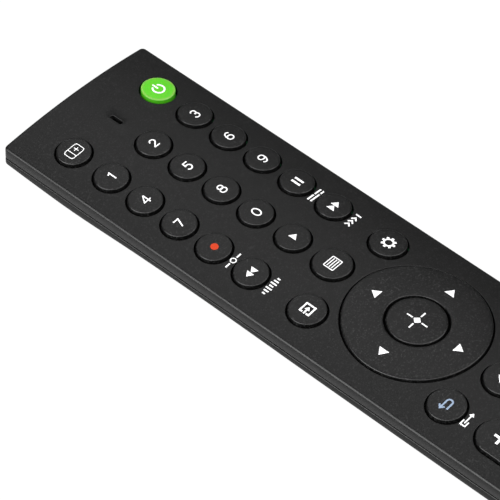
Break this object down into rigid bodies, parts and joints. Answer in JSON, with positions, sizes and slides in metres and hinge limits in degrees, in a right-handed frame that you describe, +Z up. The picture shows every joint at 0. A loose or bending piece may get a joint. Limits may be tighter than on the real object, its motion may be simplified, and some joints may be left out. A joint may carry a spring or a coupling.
{
  "type": "tv remote control",
  "caption": "Slim handheld remote control with a crowned key face, digit keys, a rocking direction ring, two pill rockers and a sliding battery cover.",
  "frame": {"origin": "on the surface that the remote lies on, under the middle of its length and width", "axes": "+Z up, out of the keys; +Y towards the head, the end with the infrared window; +X to the remote's right as its user sees it"},
  "size_m": [0.046, 0.1862, 0.0186],
  "materials": {
    "case_plastic": "fine moulded texture, near black",
    "key_plastic": "matte pad-printed key tops",
    "power_plastic": "translucent green key moulding",
    "silicone": "soft black silicone",
    "board_laminate": "green solder mask",
    "screw_steel": "zinc plated",
    "contact_nickel": "nickel plated spring strip",
    "cell_can": "printed sleeve over a metal can",
    "window_plastic": "infrared-clear dark plastic",
    "diode_epoxy": "clear cast epoxy",
    "chip_epoxy": "moulded chip package",
    "can_metal": "drawn metal can",
    "capacitor_sleeve": "shrink sleeve",
    "white_print": "white printing ink",
    "red_print": "red printing ink",
    "blue_print": "pale blue printing ink"
  },
  "bodies": {
    "root": {"upper_case": "case_plastic", "lower_case": "case_plastic", "battery_left": "cell_can", "battery_right": "cell_can", "infrared_window": "window_plastic", "keypad_mat": "silicone", "circuit_board": "board_laminate", "case_screws": "screw_steel", "bridge_contact": "contact_nickel", "negative_contact": "contact_nickel", "positive_contact": "contact_nickel", "infrared_diode": "diode_epoxy", "controller_chip": "chip_epoxy", "resonator": "can_metal", "capacitor": "capacitor_sleeve", "microphone": "can_metal"},
    "key_1": {"key_1": "key_plastic"},
    "key_2": {"key_2": "key_plastic"},
    "key_3": {"key_3": "key_plastic"},
    "key_4": {"key_4": "key_plastic"},
    "key_5": {"key_5": "key_plastic"},
    "key_6": {"key_6": "key_plastic"},
    "key_7": {"key_7": "key_plastic"},
    "key_8": {"key_8": "key_plastic"},
    "key_9": {"key_9": "key_plastic"},
    "key_0": {"key_0": "key_plastic"},
    "key_record": {"key_record": "key_plastic"},
    "key_pause": {"key_pause": "key_plastic"},
    "key_rewind": {"key_rewind": "key_plastic"},
    "key_play": {"key_play": "key_plastic"},
    "key_fast_forward": {"key_fast_forward": "key_plastic"},
    "key_screen": {"key_screen": "key_plastic"},
    "key_input": {"key_input": "key_plastic"},
    "key_list": {"key_list": "key_plastic"},
    "key_settings": {"key_settings": "key_plastic"},
    "key_back": {"key_back": "key_plastic"},
    "key_home": {"key_home": "key_plastic"},
    "key_options": {"key_options": "key_plastic"},
    "key_mute": {"key_mute": "key_plastic"},
    "key_power": {"key_power": "power_plastic"},
    "key_ok": {"key_ok": "key_plastic"},
    "rocker_volume": {"rocker_volume": "key_plastic"},
    "rocker_programme": {"rocker_programme": "key_plastic"},
    "nav_web": {"nav_web": "silicone"},
    "nav_ring": {"nav_ring": "key_plastic"},
    "battery_cover": {"battery_cover": "case_plastic"}
  },
  "joints": [
    {"name": "key_1_press", "type": "slide", "parent": "root", "child": "key_1", "axis": [0, 0, -1], "range_m": [0, 0.0008], "stiffness_N_per_m": 1500},
    {"name": "key_2_press", "type": "slide", "parent": "root", "child": "key_2", "axis": [0, 0, -1], "range_m": [0, 0.0008], "stiffness_N_per_m": 1500},
    {"name": "key_3_press", "type": "slide", "parent": "root", "child": "key_3", "axis": [0, 0, -1], "range_m": [0, 0.0008], "stiffness_N_per_m": 1500},
    {"name": "key_4_press", "type": "slide", "parent": "root", "child": "key_4", "axis": [0, 0, -1], "range_m": [0, 0.0008], "stiffness_N_per_m": 1500},
    {"name": "key_5_press", "type": "slide", "parent": "root", "child": "key_5", "axis": [0, 0, -1], "range_m": [0, 0.0008], "stiffness_N_per_m": 1500},
    {"name": "key_6_press", "type": "slide", "parent": "root", "child": "key_6", "axis": [0, 0, -1], "range_m": [0, 0.0008], "stiffness_N_per_m": 1500},
    {"name": "key_7_press", "type": "slide", "parent": "root", "child": "key_7", "axis": [0, 0, -1], "range_m": [0, 0.0008], "stiffness_N_per_m": 1500},
    {"name": "key_8_press", "type": "slide", "parent": "root", "child": "key_8", "axis": [0, 0, -1], "range_m": [0, 0.0008], "stiffness_N_per_m": 1500},
    {"name": "key_9_press", "type": "slide", "parent": "root", "child": "key_9", "axis": [0, 0, -1], "range_m": [0, 0.0008], "stiffness_N_per_m": 1500},
    {"name": "key_0_press", "type": "slide", "parent": "root", "child": "key_0", "axis": [0, 0, -1], "range_m": [0, 0.0008], "stiffness_N_per_m": 1500},
    {"name": "key_record_press", "type": "slide", "parent": "root", "child": "key_record", "axis": [0, 0, -1], "range_m": [0, 0.0008], "stiffness_N_per_m": 1500},
    {"name": "key_pause_press", "type": "slide", "parent": "root", "child": "key_pause", "axis": [0, 0, -1], "range_m": [0, 0.0008], "stiffness_N_per_m": 1500},
    {"name": "key_rewind_press", "type": "slide", "parent": "root", "child": "key_rewind", "axis": [0, 0, -1], "range_m": [0, 0.0008], "stiffness_N_per_m": 1500},
    {"name": "key_play_press", "type": "slide", "parent": "root", "child": "key_play", "axis": [0, 0, -1], "range_m": [0, 0.0008], "stiffness_N_per_m": 1500},
    {"name": "key_fast_forward_press", "type": "slide", "parent": "root", "child": "key_fast_forward", "axis": [0, 0, -1], "range_m": [0, 0.0008], "stiffness_N_per_m": 1500},
    {"name": "key_screen_press", "type": "slide", "parent": "root", "child": "key_screen", "axis": [0, 0, -1], "range_m": [0, 0.0008], "stiffness_N_per_m": 1500},
    {"name": "key_input_press", "type": "slide", "parent": "root", "child": "key_input", "axis": [0, 0, -1], "range_m": [0, 0.0008], "stiffness_N_per_m": 1500},
    {"name": "key_list_press", "type": "slide", "parent": "root", "child": "key_list", "axis": [0, 0, -1], "range_m": [0, 0.0008], "stiffness_N_per_m": 1500},
    {"name": "key_settings_press", "type": "slide", "parent": "root", "child": "key_settings", "axis": [0, 0, -1], "range_m": [0, 0.0008], "stiffness_N_per_m": 1500},
    {"name": "key_back_press", "type": "slide", "parent": "root", "child": "key_back", "axis": [0, 0, -1], "range_m": [0, 0.0008], "stiffness_N_per_m": 1500},
    {"name": "key_home_press", "type": "slide", "parent": "root", "child": "key_home", "axis": [0, 0, -1], "range_m": [0, 0.0008], "stiffness_N_per_m": 1500},
    {"name": "key_options_press", "type": "slide", "parent": "root", "child": "key_options", "axis": [0, 0, -1], "range_m": [0, 0.0008], "stiffness_N_per_m": 1500},
    {"name": "key_mute_press", "type": "slide", "parent": "root", "child": "key_mute", "axis": [0, 0, -1], "range_m": [0, 0.0008], "stiffness_N_per_m": 1500},
    {"name": "key_power_press", "type": "slide", "parent": "root", "child": "key_power", "axis": [0, 0, -1], "range_m": [0, 0.0008], "stiffness_N_per_m": 1500},
    {"name": "key_ok_press", "type": "slide", "parent": "root", "child": "key_ok", "axis": [0, 0, -1], "range_m": [0, 0.0008], "stiffness_N_per_m": 1500},
    {"name": "rocker_volume_tilt", "type": "hinge", "parent": "root", "child": "rocker_volume", "pos_m": [-0.01315, -0.0497, 0.0156], "axis": [1, 0, 0], "range_deg": [-3.5, 3.5], "stiffness_Nm_per_rad": 0.2},
    {"name": "rocker_programme_tilt", "type": "hinge", "parent": "root", "child": "rocker_programme", "pos_m": [0.01315, -0.0497, 0.0156], "axis": [1, 0, 0], "range_deg": [-3.5, 3.5], "stiffness_Nm_per_rad": 0.2},
    {"name": "nav_up_down", "type": "hinge", "parent": "root", "child": "nav_web", "pos_m": [0, -0.00895, 0.0155], "axis": [1, 0, 0], "range_deg": [-1.8, 1.8], "stiffness_Nm_per_rad": 0.57},
    {"name": "nav_left_right", "type": "hinge", "parent": "nav_web", "child": "nav_ring", "pos_m": [0, -0.00895, 0.0155], "axis": [0, 1, 0], "range_deg": [-1.8, 1.8], "stiffness_Nm_per_rad": 0.57},
    {"name": "battery_cover_slide", "type": "slide", "parent": "root", "child": "battery_cover", "axis": [0, -1, 0], "range_m": [0, 0.065]}
  ]
}
